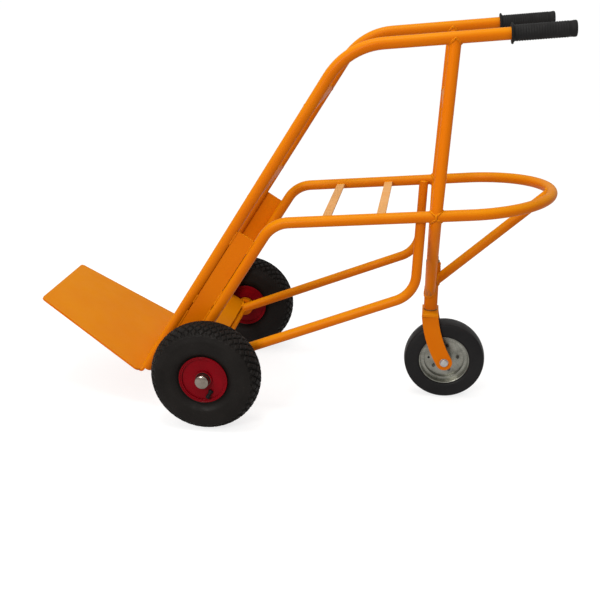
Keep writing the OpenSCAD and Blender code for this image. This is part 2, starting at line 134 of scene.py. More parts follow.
def revolve(profile, steps, place, closed=False):
    """Turns (radius, height) points about the z axis of the matrix place into a closed skin."""
    verts, rings = [], []
    for r, h in profile:
        count = steps if r > 0 else 1
        turn = [2 * math.pi * i / steps for i in range(count)]
        rings.append([len(verts) + i % count for i in range(steps)])
        verts += [place @ Vector((r * math.cos(a), r * math.sin(a), h)) for a in turn]
    ends = profile[1:] + profile[:1]
    area = sum(r1 * h2 - r2 * h1 for (r1, h1), (r2, h2) in zip(profile, ends))
    outward = area * place.determinant() > 0
    faces = []
    pairs = list(zip(rings, rings[1:] + rings[:1]))
    for low, high in pairs if closed else pairs[:-1]:
        for i in range(steps):
            j = (i + 1) % steps
            corners = list(dict.fromkeys((low[i], low[j], high[j], high[i])))
            faces.append(tuple(corners if outward else reversed(corners)))
    return verts, faces


def turned(x, y, z):
    """The rotation whose axes are the three given directions."""
    return Matrix(((x.x, y.x, z.x, 0), (x.y, y.y, z.y, 0), (x.z, y.z, z.z, 0), (0, 0, 0, 1)))


def join(parts):
    """One mesh's points and faces from several."""
    verts, faces = [], []
    for v, f in parts:
        base = len(verts)
        verts += list(v)
        faces += [tuple(i + base for i in g) for g in f]
    return verts, faces


# ---- weld beads ----

RIPPLE = 0.0024
RING = 8


def bead(points, normals, width, closed=False, height=0.62):
    """A rippled weld bead along a line, lying in the corner that the normals point out of."""
    pts = [Vector(p) for p in points]
    nor = [Vector(n).normalized() for n in normals]
    if closed:
        pts.append(pts[0])
        nor.append(nor[0])
    lengths = [0.0]
    for a, b in zip(pts, pts[1:]):
        lengths.append(lengths[-1] + (b - a).length)
    total = lengths[-1]
    count = max(4, int(total / (RIPPLE / 4)))
    verts, faces, seg = [], [], 0
    rings = count if closed else count + 1
    wobble = random.random() * 6
    for i in range(rings):
        s = total * i / count
        while seg < len(pts) - 2 and lengths[seg + 1] < s:
            seg += 1
        span = max(lengths[seg + 1] - lengths[seg], 1e-9)
        t = (s - lengths[seg]) / span
        p = pts[seg].lerp(pts[seg + 1], t)
        n = nor[seg].lerp(nor[seg + 1], t).normalized()
        tangent = (pts[seg + 1] - pts[seg]).normalized()
        n = (n - tangent * n.dot(tangent)).normalized()
        across = tangent.cross(n)
        phase = (s / RIPPLE) % 1.0
        r = width * (0.86 + 0.14 * math.cos(phase * 2 * math.pi))
        r *= 1 + 0.10 * math.sin(s * 310 + wobble) + 0.06 * math.sin(s * 910 + wobble * 2)
        if not closed:
            r *= min(1.0, 0.35 + 0.65 * min(s, total - s) / (width * 0.8))
        for k in range(RING):
            a = 2 * math.pi * k / RING
            verts.append(p + across * (r * math.cos(a)) + n * (r * height * math.sin(a)))
    for i in range(rings if closed else rings - 1):
        j = (i + 1) % rings
        for k in range(RING):
            m = (k + 1) % RING
            faces.append((i * RING + k, j * RING + k, j * RING + m, i * RING + m))
    if not closed:
        faces.append(tuple(range(RING))[::-1])
        faces.append(tuple((rings - 1) * RING + k for k in range(RING)))
    return verts, faces


def frame_across(d):
    """Two directions that are square to d and to each other."""
    u = d.cross(Y if abs(d.y) < 0.9 else Vector((1, 0, 0))).normalized()
    return u, d.cross(u)


def meet(p, d, r, q, e, big_r, n=40):
    """Where the surface of a tube from p along d first meets the round bar about q and e."""
    d, e = d.normalized(), e.normalized()
    u, v = frame_across(d)
    points, normals = [], []
    for i in range(n):
        a = 2 * math.pi * (i / n)
        out = u * math.cos(a) + v * math.sin(a)
        s = p + out * r
        w = s - q
        w1, d1 = w - e * w.dot(e), d - e * d.dot(e)
        aa, bb, cc = d1.dot(d1), w1.dot(d1), w1.dot(w1) - big_r ** 2
        root = math.sqrt(max(bb * bb - aa * cc, 0))
        t = (-bb - root) / aa
        hit = s + d * t
        side = hit - q
        side = (side - e * side.dot(e)).normalized()
        normals.append((out + side).normalized())
        points.append(hit + normals[-1] * 0.0006)
    return points, normals


def line(a, b, normal, n=12):
    """Points from a to b that share one normal."""
    pts = [a.lerp(b, i / n) for i in range(n + 1)]
    return pts, [normal] * (n + 1)


def mirrored(part):
    """The same beads on the other side of the truck."""
    verts, faces = part
    return [Vector((v.x, -v.y, v.z)) for v in verts], [tuple(reversed(f)) for f in faces]


# ---- materials ----

class Tree:
    """Short calls for building a material's nodes."""

    def __init__(self, name):
        self.mat = bpy.data.materials.new(name)
        self.mat.use_nodes = True
        self.tree = self.mat.node_tree
        self.tree.nodes.clear()
        self.out = self.add("ShaderNodeOutputMaterial")
        self.shader = self.add("ShaderNodeBsdfPrincipled")
        self.link(self.shader.outputs[0], self.out.inputs[0])
        self.coords = self.add("ShaderNodeTexCoord")
        self.coord = self.coords.outputs["Object"]

    def add(self, kind, **values):
        node = self.tree.nodes.new(kind)
        for k, v in values.items():
            setattr(node, k, v)
        return node

    def link(self, a, b):
        self.tree.links.new(a, b)

    def put(self, socket, value):
        """Gives a socket another node's output or a plain value."""
        if isinstance(value, bpy.types.NodeSocket):
            self.link(value, socket)
        else:
            socket.default_value = value

    def noise(self, scale, detail=4.0, rough=0.55, vector=None):
        n = self.add("ShaderNodeTexNoise")
        self.link(vector or self.coord, n.inputs["Vector"])
        n.inputs["Scale"].default_value = scale
        n.inputs["Detail"].default_value = detail
        n.inputs["Roughness"].default_value = rough
        return n.outputs["Fac"]

    def stretched(self, x, y, z):
        """The object's coordinates scaled along each axis."""
        m = self.add("ShaderNodeMapping")
        self.link(self.coord, m.inputs["Vector"])
        m.inputs["Scale"].default_value = (x, y, z)
        return m.outputs[0]

    def ramp(self, fac, black, white):
        """A straight fade from black to white between two values of fac."""
        r = self.add("ShaderNodeValToRGB")
        self.link(fac, r.inputs[0])
        for element, position in zip(r.color_ramp.elements, (black, white)):
            element.position = position
        return r.outputs[0]

    def mix(self, fac, a, b):
        m = self.add("ShaderNodeMix", data_type="RGBA")
        self.put(m.inputs[0], fac)
        for s, v in ((m.inputs[6], a), (m.inputs[7], b)):
            self.put(s, (*v, 1) if isinstance(v, tuple) else v)
        return m.outputs[2]

    def math(self, op, a, b):
        m = self.add("ShaderNodeMath", operation=op)
        self.put(m.inputs[0], a)
        self.put(m.inputs[1], b)
        return m.outputs[0]

    def between(self, value, a, b, lo=0.0, hi=1.0):
        """Carries value from a..b to lo..hi with eased ends."""
        m = self.add("ShaderNodeMapRange", interpolation_type="SMOOTHSTEP")
        self.put(m.inputs[0], value)
        for i, v in zip((1, 2, 3, 4), (a, b, lo, hi)):
            m.inputs[i].default_value = v
        return m.outputs[0]

    def axis(self, which, of="Object"):
        """One component of a texture coordinate."""
        s = self.add("ShaderNodeSeparateXYZ")
        self.link(self.coords.outputs[of], s.inputs[0])
        return s.outputs[which]

    def bump(self, height, distance, strength=1.0, normal=None):
        b = self.add("ShaderNodeBump")
        b.inputs["Strength"].default_value = strength
        b.inputs["Distance"].default_value = distance
        self.link(height, b.inputs["Height"])
        if normal is not None:
            self.link(normal, b.inputs["Normal"])
        return b.outputs[0]

    def rounded(self, radius):
        """The normal over edges rounded by radius, and a mask that is 1 on those edges."""
        bevel = self.add("ShaderNodeBevel", samples=4)
        bevel.inputs["Radius"].default_value = radius
        geo = self.add("ShaderNodeNewGeometry")
        dot = self.add("ShaderNodeVectorMath", operation="DOT_PRODUCT")
        self.link(bevel.outputs[0], dot.inputs[0])
        self.link(geo.outputs["Normal"], dot.inputs[1])
        edge = self.between(dot.outputs["Value"], 0.995, 0.90)
        return bevel.outputs[0], edge

    def corner_shade_mask(self, distance):
        """1 in tight corners, 0 in the open: the mask for painted shade in corners."""
        ao = self.add("ShaderNodeAmbientOcclusion", samples=6)
        ao.inputs["Distance"].default_value = distance
        return self.between(ao.outputs["AO"], 0.75, 0.25)

    def set(self, **values):
        """Sets the main shader's inputs and returns the material."""
        names = {"color": "Base Color", "rough": "Roughness", "metal": "Metallic",
                 "normal": "Normal", "specular": "Specular IOR Level"}
        for k, v in values.items():
            self.put(self.shader.inputs[names[k]], (*v, 1) if isinstance(v, tuple) else v)
        return self.mat


def paint(name, deep_and_shaded, bright_and_lit, chip=(0.30, 0.075, 0.004), wear=0.30, rough=(0.30, 0.42),
          peel=0.00012, top=0.78, pale=0.0, dark_foot_heights=None):
    """Powder coat or enamel: orange peel, faint clouding, chipped edges, painted shade on the sides
    and in corners, painted light on upward faces and a painted highlight along edges.

    pale is how far it turns paler toward a beige in streaks, and dark_foot_heights the heights
    between which it turns darker and browner towards the bottom.
    """
    t = Tree(name)
    cloud = t.ramp(t.noise(9, 3), 0.32, 0.70)
    # painted light: upward faces take the lit colour and sides the shaded one; top weighs this
    # against the clouding
    painted_top_light = t.between(t.axis(2, "Normal"), -0.05, 0.80)
    tone_and_painted_light = t.math("ADD", t.math("MULTIPLY", cloud, 1 - top), t.math("MULTIPLY", painted_top_light, top))
    color = t.mix(tone_and_painted_light, deep_and_shaded, bright_and_lit)
    fine = t.noise(240, 2)
    color = t.mix(t.between(fine, 0.62, 0.80, 0, 0.10), color, tuple(c * 0.6 for c in deep_and_shaded))
    # painted shade: corners darkened
    painted_corner_shade = t.corner_shade_mask(0.008)
    color = t.mix(t.math("MULTIPLY", painted_corner_shade, 0.30), color, tuple(c * 0.42 for c in deep_and_shaded))
    # paler toward a beige in streaks
    if pale:
        pale_streaks = t.noise(26, 5, 0.65, t.stretched(1, 3.5, 1))
        color = t.mix(t.between(pale_streaks, 0.28, 0.62, pale * 0.75, pale), color, (0.74, 0.43, 0.165))
    # darker and browner towards the bottom, in streaks
    if dark_foot_heights:
        low, high = dark_foot_heights
        wave = t.math("MULTIPLY", t.math("SUBTRACT", t.noise(60, 3), 0.5), 0.03)
        dark_foot = t.between(t.math("ADD", t.axis(2), wave), high, low)
        streak = t.between(t.noise(150, 3, 0.6, t.stretched(1, 1, 0.2)), 0.44, 0.66, 0.15, 0.8)
        color = t.mix(t.math("MULTIPLY", dark_foot, streak), color, (0.30, 0.13, 0.045))
    rounded, edge = t.rounded(0.0011)
    chips = t.between(t.noise(170, 5, 0.7), 0.56, 0.66)
    color = t.mix(t.math("MULTIPLY", t.math("MULTIPLY", edge, chips), wear), color, chip)
    # painted highlight: edges lightened toward the lit colour
    color = t.mix(t.math("MULTIPLY", edge, 0.12), color, tuple(min(1, c * 1.15) for c in bright_and_lit))
    roughness = t.between(t.noise(34, 4, 0.6), 0.3, 0.7, rough[0], rough[1])
    normal = t.bump(t.noise(520, 2), peel, 0.55, rounded)
    normal = t.bump(t.noise(30, 2), 0.0004, 0.25, normal)
    return t.set(color=color, rough=roughness, normal=normal, specular=0.06)


def rubber(name, dark, pale, rough, dust):
    """Moulded rubber: dull, a little brown, with pale dust specks, a painted highlight along edges
    and painted shade in corners.
    """
    t = Tree(name)
    color = t.mix(t.ramp(t.noise(14, 4), 0.30, 0.75), dark, pale)
    specks = t.between(t.noise(310, 3, 0.7), 0.60, 0.78, 0, dust)
    color = t.mix(specks, color, (0.075, 0.066, 0.058))
    rounded, edge = t.rounded(0.0009)
    # painted highlight: edges lightened, as glints on the tread blocks
    color = t.mix(t.math("MULTIPLY", edge, 0.55), color, (0.085, 0.074, 0.064))
    # painted shade: corners darkened
    painted_corner_shade = t.corner_shade_mask(0.006)
    color = t.mix(t.math("MULTIPLY", painted_corner_shade, 0.7), color, (0.003, 0.0025, 0.0025))
    roughness = t.between(t.noise(60, 3), 0.3, 0.7, rough[0], rough[1])
    normal = t.bump(t.noise(900, 3), 0.00008, 0.7, rounded)
    return t.set(color=color, rough=roughness, normal=normal, specular=0.10)


def metal(name, dark, pale, rough=(0.22, 0.42), brushed=(1, 1, 1), spots=0.3,
          stain=(0.20, 0.15, 0.10)):
    """Plated or turned metal: cloudy plating, fine scratches, small stains and painted shade in
    corners.
    """
    t = Tree(name)
    color = t.mix(t.ramp(t.noise(38, 5, 0.62), 0.30, 0.72), dark, pale)
    stains = t.between(t.noise(92, 4, 0.7), 0.60, 0.76, 0, spots)
    color = t.mix(stains, color, stain)
    # painted shade: corners darkened
    painted_corner_shade = t.corner_shade_mask(0.006)
    color = t.mix(t.math("MULTIPLY", painted_corner_shade, 0.5), color, tuple(c * 0.3 for c in dark))
    lines = t.noise(700, 3, 0.6, t.stretched(*brushed))
    roughness = t.between(lines, 0.3, 0.7, rough[0], rough[1])
    rounded, edge = t.rounded(0.0006)
    normal = t.bump(lines, 0.00005, 0.5, rounded)
    return t.set(color=color, rough=roughness, metal=1.0, normal=normal)


# the orange's shaded and lit colours: sides take the first and upward faces the second, so both
# carry painted light and shade
ORANGE_DEEP_AND_SHADED, ORANGE_BRIGHT_AND_LIT = (0.590, 0.124, 0.0003), (0.660, 0.222, 0.0006)
orange = paint("orange_powder_coat", ORANGE_DEEP_AND_SHADED, ORANGE_BRIGHT_AND_LIT)
orange_slat = paint("orange_paler_in_streaks", ORANGE_DEEP_AND_SHADED, ORANGE_BRIGHT_AND_LIT, wear=0.5, pale=0.72,
                    rough=(0.30, 0.48))
orange_toe = paint("orange_toe_plate", ORANGE_DEEP_AND_SHADED, ORANGE_BRIGHT_AND_LIT, wear=0.6, rough=(0.30, 0.46))
# the leg's shaded colour is lifted above the others to make up for floor light it misses: painted
# light
LEG_DEEP_AND_SHADED = (0.680, 0.150, 0.0004)
orange_leg = paint("orange_darker_brown_at_foot", LEG_DEEP_AND_SHADED, ORANGE_BRIGHT_AND_LIT, dark_foot_heights=(0.275, 0.300))
# the beads take a darker shaded and a paler lit colour than the body: painted light and shade
# picked by facing
orange_weld = paint("orange_over_welds", (0.56, 0.125, 0.0004), (0.74, 0.26, 0.0010), wear=0.0,
                    rough=(0.20, 0.32), peel=0.00025)
crimson = paint("crimson_enamel", (0.140, 0.0012, 0.0040), (0.215, 0.0018, 0.0065),
                chip=(0.07, 0.003, 0.004), rough=(0.16, 0.28), peel=0.0002, top=0.0)
tyre_black = rubber("tyre_rubber_black", (0.0065, 0.0052, 0.0045), (0.0125, 0.0105, 0.0092),
                    rough=(0.42, 0.62), dust=0.22)
caster_black = rubber("solid_rubber_black", (0.0105, 0.0102, 0.0105), (0.0165, 0.0160, 0.0162),
                      rough=(0.34, 0.48), dust=0.15)
grip_black = rubber("grip_rubber_black", (0.010, 0.010, 0.010), (0.018, 0.017, 0.017),
                    rough=(0.5, 0.7), dust=0.15)
tube_black = rubber("valve_rubber_black", (0.007, 0.0065, 0.0065), (0.013, 0.012, 0.012),
                    rough=(0.42, 0.6), dust=0.1)
zinc = metal("zinc_plate", (0.190, 0.190, 0.165), (0.380, 0.380, 0.335),
             rough=(0.22, 0.38), spots=0.30)
# rivets darkened to stand for the shadows in their holes: painted shadow
rivets_darkened_as_shadow = metal("zinc_rivets_in_painted_shadow", (0.060, 0.058, 0.050), (0.130, 0.125, 0.110),
                   rough=(0.20, 0.34))
plain_steel = metal("turned_steel", (0.30, 0.29, 0.28), (0.46, 0.45, 0.44), brushed=(9, 1, 9))
oily_steel = metal("oily_steel", (0.045, 0.036, 0.030), (0.11, 0.095, 0.085),
                   rough=(0.30, 0.50))
bright_steel = metal("bright_plate", (0.42, 0.41, 0.39), (0.70, 0.69, 0.67),
                     rough=(0.14, 0.26), spots=0.35, stain=(0.12, 0.09, 0.06))
# a dark brown tint stands for the dark room the caps reflect: painted reflection
cap_plate_painted_reflection = metal("cap_plate_with_painted_dark_reflection", (0.20, 0.160, 0.130), (0.40, 0.345, 0.300),
                  rough=(0.16, 0.30), spots=0.55, stain=(0.09, 0.06, 0.045))
bronze = metal("sintered_bronze", (0.26, 0.15, 0.06), (0.44, 0.28, 0.12), rough=(0.4, 0.6))

by_slot = {"orange_paint": orange, "crimson_paint": crimson, "tyre_rubber": tyre_black,
           "caster_rubber": caster_black, "grip_rubber": grip_black,
           "tube_rubber": tube_black, "bronze": bronze, "zinc_steel": zinc,
           "plain_steel": plain_steel, "bright_steel": bright_steel}
special = {"slat_front": orange_slat, "slat_rear": orange_slat, "toe_plate": orange_toe,
           "leg_left": orange_leg, "leg_right": orange_leg, "bearings_left": oily_steel,
           "bearings_right": oily_steel, "axle_washers": oily_steel, "caster_rivets": rivets_darkened_as_shadow}
for part in frame["record"]["subparts"]:
    mesh = nodes[part["node"]].data
    material = special.get(part["node"], by_slot[part["material_slot"]])
    if len(mesh.materials) == 0:
        mesh.materials.append(material)
    for i in range(len(mesh.materials)):
        mesh.materials[i] = material

# ---- main tyres: block tread over the crown and shoulders ----

WHEEL_R = 0.130
WHEEL_Y = 0.250
TYRE_HALF_W = 0.0425
CROWN_R = 0.062
CROWN_HALF_W = 0.0404
CORNER_R = 0.025
SHOULDER_AT = WHEEL_R - CORNER_R
BEAD_CORNER_AT = 0.0825
TREAD_BLOCKS = 42
TREAD_PITCH = 0.0225
GROOVE_DEPTH = 0.0042
SLIT_DEPTH = 0.0020
LUG_DEPTH = 0.0034
SHOULDER_STEP = 0.0022
RIB_HEIGHT = 0.0007


def corner_point(centre_r, degrees):
    """A point on a sidewall's rounded corner, turned from the widest place to the crown."""
    a = math.radians(degrees)
    return (centre_r + CORNER_R * math.sin(a), TYRE_HALF_W - CORNER_R * (1 - math.cos(a)))


def half_profile():
    """The tyre's outline from the middle of its crown to the bead, as (radius, width)."""
    pts = []
    y = 0.0
    while y < CROWN_HALF_W:
        pts.append((WHEEL_R - CROWN_R + math.sqrt(CROWN_R ** 2 - y * y), y))
        y += 0.0011
    pts += [corner_point(SHOULDER_AT, a) for a in np.linspace(23.5, 0, 8)]
    pts += [(r, TYRE_HALF_W) for r in (0.102, 0.1005, 0.0995, 0.097, 0.092, 0.087)]
    pts += [corner_point(BEAD_CORNER_AT, -a) for a in np.linspace(0, 62, 12)]
    pts += [(0.0601, 0.0289), (0.0530, 0.0288)]
    return pts


def build_tyre(name, side):
    """The tyre's skin with its tread cut in: a diamond of grooves, slits and shoulder lugs."""
    half = half_profile()
    outline = [(r, -y) for r, y in reversed(half[1:])] + half
    arr = np.array(outline)
    step = np.hypot(*np.diff(arr, axis=0).T)
    s = np.concatenate([[0], np.cumsum(step)])
    s -= s[len(half) - 1]
    tan = np.gradient(arr, axis=0)
    tan /= np.hypot(tan[:, 0], tan[:, 1])[:, None]
    inward = np.stack([-tan[:, 1], tan[:, 0]], 1)
    inward *= np.where((inward * (arr - [0.092, 0])).sum(1) > 0, -1, 1)[:, None]
    count = 630
    theta = np.linspace(0, 2 * math.pi, count, endpoint=False)
    a = theta[:, None] * TREAD_BLOCKS / (2 * math.pi)
    b = s[None, :] / TREAD_PITCH
    slope = math.hypot(TREAD_BLOCKS / (2 * math.pi * WHEEL_R), 1 / TREAD_PITCH)
    d1 = np.abs((a + b) % 1 - 0.5) / slope
    d2 = np.abs((a - b) % 1 - 0.5) / slope
    near = np.minimum(d1, d2)
    groove = 1 - smooth(0.0011, 0.0023, near)
    # a zigzag slit along the middle of every block, and lugs that end down the shoulder
    tooth = np.abs((a * 2) % 1 - 0.5) * 0.004 - 0.001
    slit = 1 - smooth(0.0004, 0.0010, np.abs(s[None, :] - tooth))
    edge = 0.043 + 0.0035 * np.cos(a * 2 * math.pi)
    on_tread = 1 - smooth(-0.0015, 0.0015, np.abs(s)[None, :] - edge)
    on_shoulder = smooth(0.034, 0.037, np.abs(s))[None, :]
    between_lugs = smooth(0.20, 0.30, np.abs(a % 1 - 0.5)) * on_shoulder
    depth = GROOVE_DEPTH * groove + SLIT_DEPTH * slit * (1 - groove)
    depth = np.maximum(depth, LUG_DEPTH * between_lugs) * on_tread
    depth += SHOULDER_STEP * (1 - on_tread) * (1 - smooth(0.050, 0.062, np.abs(s)))[None, :]
    # raised rings round the sidewall
    ring = np.exp(-((arr[:, 0] - 0.0745) / 0.0012) ** 2) + 0.8 * np.exp(
        -((arr[:, 0] - 0.0945) / 0.0010) ** 2)
    depth -= RIB_HEIGHT * ring[None, :] * (np.abs(s) > 0.045)[None, :]
    r = arr[None, :, 0] + depth * inward[None, :, 0]
    w = arr[None, :, 1] + depth * inward[None, :, 1]
    x = AXLE.x + r * np.cos(theta)[:, None]
    z = AXLE.z + r * np.sin(theta)[:, None]
    y = side * WHEEL_Y + w
    verts = np.stack([x, y, z], 2).reshape(-1, 3)
    n = len(outline)
    i, k = np.meshgrid(np.arange(count), np.arange(n), indexing="ij")
    j, m = (i + 1) % count, (k + 1) % n
    faces = np.stack([i * n + k, i * n + m, j * n + m, j * n + k], 2).reshape(-1, 4)
    return piece(name, verts, faces, "wheel_" + name.split("_")[-1], tyre_black)


for word, side in SIDES.items():
    tyre = build_tyre("tyre_with_tread_" + word, side)
    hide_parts("tyre_" + word)

# ---- rubber valves, which lean outwards and down ----

VALVE_FOOT_Y = 0.2770

for word, side in SIDES.items():
    low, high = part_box("valve_" + word)
    stem_dir = Vector((-0.0084, side * 0.0120, -0.0157)).normalized()
    foot = Vector(((low.x + high.x) / 2, side * VALVE_FOOT_Y, (low.z + high.z) / 2))
    place = Matrix.Translation(foot) @ turned(*frame_across(stem_dir), stem_dir)
    stem = [(0.0, -0.0020), (0.0058, -0.0020), (0.0060, 0.0020), (0.0052, 0.0034),
            (0.0044, 0.0044), (0.0041, 0.0080), (0.0040, 0.0096), (0.0030, 0.0100),
            (0.0, 0.0100)]
    cap = [(0.0, 0.0096), (0.0047, 0.0098)]
    for h in (0.0102, 0.0116, 0.0130, 0.0144, 0.0158):
        cap += [(0.0050, h), (0.0047, h + 0.0007)]
    cap += [(0.0049, 0.0174), (0.0042, 0.0186), (0.0022, 0.0190), (0.0, 0.0191)]
    verts, faces = join([revolve(stem, 28, place), revolve(cap, 28, place)])
    valve = piece("valve_stem_" + word, verts, faces, "wheel_" + word, tube_black)
    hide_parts("valve_" + word)

# ---- ribbed grips ----

GRIP_REACH = 0.129
GRIP_R = 0.0165
TIP_BACK = 0.766


def grip_profile():
    """A cup for the tube, a flange at its mouth, and ribs up to a rounded end."""
    reach = GRIP_REACH
    points = [(0.0, reach - 0.0045), (TUBE_R, reach - 0.0045), (TUBE_R, 0.0002), (0.0195, 0.0),
              (0.0212, 0.0010), (0.0215, 0.0025), (0.0208, 0.0042), (0.0180, 0.0052),
              (0.0162, 0.0070)]
    h = 0.0100
    while h < reach - 0.016:
        points += [(0.0158, h), (GRIP_R, h + 0.0010), (GRIP_R, h + 0.0024), (0.0158, h + 0.0034)]
        h += 0.0052
    return points + [
        (0.0160, reach - 0.0090), (GRIP_R, reach - 0.0075), (GRIP_R, reach - 0.0028),
        (0.0152, reach - 0.0008), (0.0130, reach - 0.0001), (0.0040, reach),
        (0.0032, reach - 0.0012), (0.0, reach - 0.0014)]


for word, side in SIDES.items():
    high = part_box("grip_" + word)[1]
    tip = Vector((AXLE.x + TIP_BACK, side * HALF_W, 0)) + HANDLE_DIR * 0.004
    tip.z = high.z - GRIP_R * math.cos(HANDLE_RISE)
    x_dir = HANDLE_DIR.cross(Y).normalized()
    place = Matrix.Translation(tip - HANDLE_DIR * GRIP_REACH) @ turned(x_dir, Y, HANDLE_DIR)
    verts, faces = revolve(grip_profile(), 56, place)
    grip = piece("ribbed_grip_" + word, verts, faces, "frame", grip_black)
    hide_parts("grip_" + word)

# ---- welds: where they run along the rail and the deck, and how far from a tube's middle ----

RUNGS_UP = (0.170, 0.400, 0.640)
GROOVE_AT = 0.0113
PLATE_EDGE_AT = 0.013
PLATE_TOP = 0.3202
PLATE_Y = -0.193
PLATE_HALF_T = 0.0022
SLATS_ALONG = (0.2685, 0.3915)
SLAT_HALF_W = 0.0098
SLAT_HALF_T = 0.0021
DECK_MEETS_LEG, HOOP_MEETS_LEG = 0.300, 0.585
KNEE_Z = 0.505
LEG_FOOT_Z = 0.264
BRACE_FOOT_Z = 0.294
BEAM_SEAM = -0.0488
ROD_SEAM = -0.0074
ROD_R = 0.008
BEAM_END_Y = 0.2008
LEG_LEAN = math.radians(3)
STAY_LEAN = math.radians(2)
HANDLE_Z = 0.870

rail_axis = rail_pt(RAIL_BACK, 0, -HALF_W)
deck_axis = deck_pt(0, -HALF_W)
head_axis = Vector((SWIVEL_X, 0, 0))
leg_knee = Vector((SWIVEL_X, -HALF_W, KNEE_Z))


def seam(a, b, normal, width, height=0.62):
    """A straight bead from a to b."""
    return bead(*line(a, b, normal), width, height=height)


def rung_welds():
    """The rungs' ends on the rail."""
    return [bead(*meet(rail_pt(RAIL_BACK, up), -Y, LIGHT_R, rail_axis, RAIL_DIR, TUBE_R),
                 0.0024, True) for up in RUNGS_UP]


def plate_welds():
    """Stitches in the grooves along the rail and the deck tube, and a bead on the top edge."""
    made = []
    along_rail = ((0.283, 0.320), (0.112, 0.136), (0.0, 0.088))
    along_leg = ((0.285, 0.320), (0.135, 0.177), (0.0, 0.120))
    for back, spans in ((RAIL_BACK + GROOVE_AT, along_rail),
                        (DOWN_LEG_BACK - GROOVE_AT, along_leg)):
        for a, b in spans:
            for side in (-1, 1):
                y = PLATE_Y + side * PLATE_HALF_T
                made.append(seam(rail_pt(back, a, y), rail_pt(back, b, y), side * Y, 0.0026, 0.42))
    pts, nor = line(rail_pt(RAIL_BACK + PLATE_EDGE_AT, PLATE_TOP, PLATE_Y),
                    rail_pt(DOWN_LEG_BACK - PLATE_EDGE_AT, PLATE_TOP, PLATE_Y), RAIL_DIR)
    made.append(bead(pts, nor, 0.0017))
    made.append(bead(pts[-3:-1], nor[-3:-1], 0.0032, height=0.8))
    return made


def deck_welds():
    """The deck tube and the hoop on the leg, and the slats on the deck tube."""
    leg_x = Vector((SWIVEL_X, -HALF_W + 0.0012, 0))
    made = [bead(*meet(deck_pt(along, -HALF_W), d, TUBE_R, leg_x, Z, TUBE_R + 0.0002), 0.0033, True)
            for along, d in ((DECK_MEETS_LEG, DECK_DIR), (HOOP_MEETS_LEG, -DECK_DIR))]
    y = -HALF_W + math.sqrt(TUBE_R ** 2 - 0.002 ** 2) + 0.0004
    for along in SLATS_ALONG:
        for up in (1, -1):
            offset = DECK_UP * (up * SLAT_HALF_T)
            made.append(seam(deck_pt(along - SLAT_HALF_W, y) + offset,
                             deck_pt(along + SLAT_HALF_W, y) + offset,
                             up * DECK_UP * 0.8 + Y * 0.6, 0.0026))
    return made


def stay_foot_weld():
    """Where the lower stay lands on the axle beam's face or on the axle rod, whichever is first."""
    foot = AXLE + Vector((0, -STAY_HALF_W, 0.006))
    d = -STAY_DIR
    u, v = frame_across(d)
    pts, nor = [], []
    for i in range(44):
        a = 2 * math.pi * i / 44
        out = u * math.cos(a) + v * math.sin(a)
        s = foot + STAY_DIR * 0.06 + out * LIGHT_R
        t = (rail_pt(BEAM_BACK, 0) - s).dot(BACK_DIR) / d.dot(BACK_DIR)
        side_n = BACK_DIR
        w = s - AXLE
        w1, d1 = Vector((w.x, 0, w.z)), Vector((d.x, 0, d.z))
        inside = w1.dot(d1) ** 2 - d1.dot(d1) * (w1.dot(w1) - ROD_R ** 2)
        if inside > 0:
            on_rod = (-w1.dot(d1) - math.sqrt(inside)) / d1.dot(d1)
            if on_rod < t:
                hit = s + d * on_rod - AXLE
                t, side_n = on_rod, Vector((hit.x, 0, hit.z)).normalized()
        n = (out + side_n).normalized()
        pts.append(s + d * min(t, 0.0605) + n * 0.0008)
        nor.append(n)
    return bead(pts, nor, 0.0042, True)


def stay_welds():
    """The lower stay's foot, its domed top and the bead between that top and the deck tube."""
    made = [stay_foot_weld()]
    lean = Vector((math.sin(STAY_LEAN), 0, math.cos(STAY_LEAN)))
    stay_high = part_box("lower_stay_left")[1]
    top = Vector((stay_high.x - LIGHT_R - 0.0006, -STAY_HALF_W, stay_high.z))
    dome = [(0.0, 0.0016), (0.0045, 0.0013), (0.0082, 0.0004), (0.0107, -0.0012),
            (0.0112, -0.0030), (0.0, -0.0030)]
    place = Matrix.Translation(top - lean * 0.0012) @ turned(*frame_across(lean), lean)
    made.append(revolve(dome, 32, place))
    count = 60
    pts, nor = meet(top - lean * 0.10, lean, LIGHT_R, deck_axis, DECK_DIR, TUBE_R, count)
    keep = [i for i in range(count) if pts[i].y < -STAY_HALF_W + 0.002 and pts[i].z < top.z]
    if keep:
        first = next((i for i in keep if (i - 1) % count not in keep), keep[0])
        order = [(first + i) % count for i in range(len(keep))]
        made.append(bead([pts[i] for i in order], [nor[i] for i in order], 0.0032))
    return made


def leg_welds():
    """The leg's foot on the head tube, its top under the handle, and the cross bar's end."""
    down = (Vector((SWIVEL_X - 0.0035, 0, LEG_FOOT_Z)) - leg_knee).normalized()
    lean = Vector((math.sin(LEG_LEAN), 0, math.cos(LEG_LEAN)))
    corner_up = (HANDLE_Z - rail_axis.z) / RAIL_DIR.z
    handle_corner = rail_pt(RAIL_BACK, corner_up, -HALF_W)
    bar_low, bar_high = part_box("leg_cross_bar")
    return [bead(*meet(leg_knee, down, TUBE_R, head_axis, Z, HEAD_R, 64), 0.0034, True),
            bead(*meet(leg_knee + lean * 0.2, lean, TUBE_R, handle_corner, HANDLE_DIR, TUBE_R),
                 0.0032, True),
            bead(*meet((bar_low + bar_high) / 2, -Y, TUBE_R - 0.0015, leg_knee, lean, TUBE_R),
                 0.0028, True)]


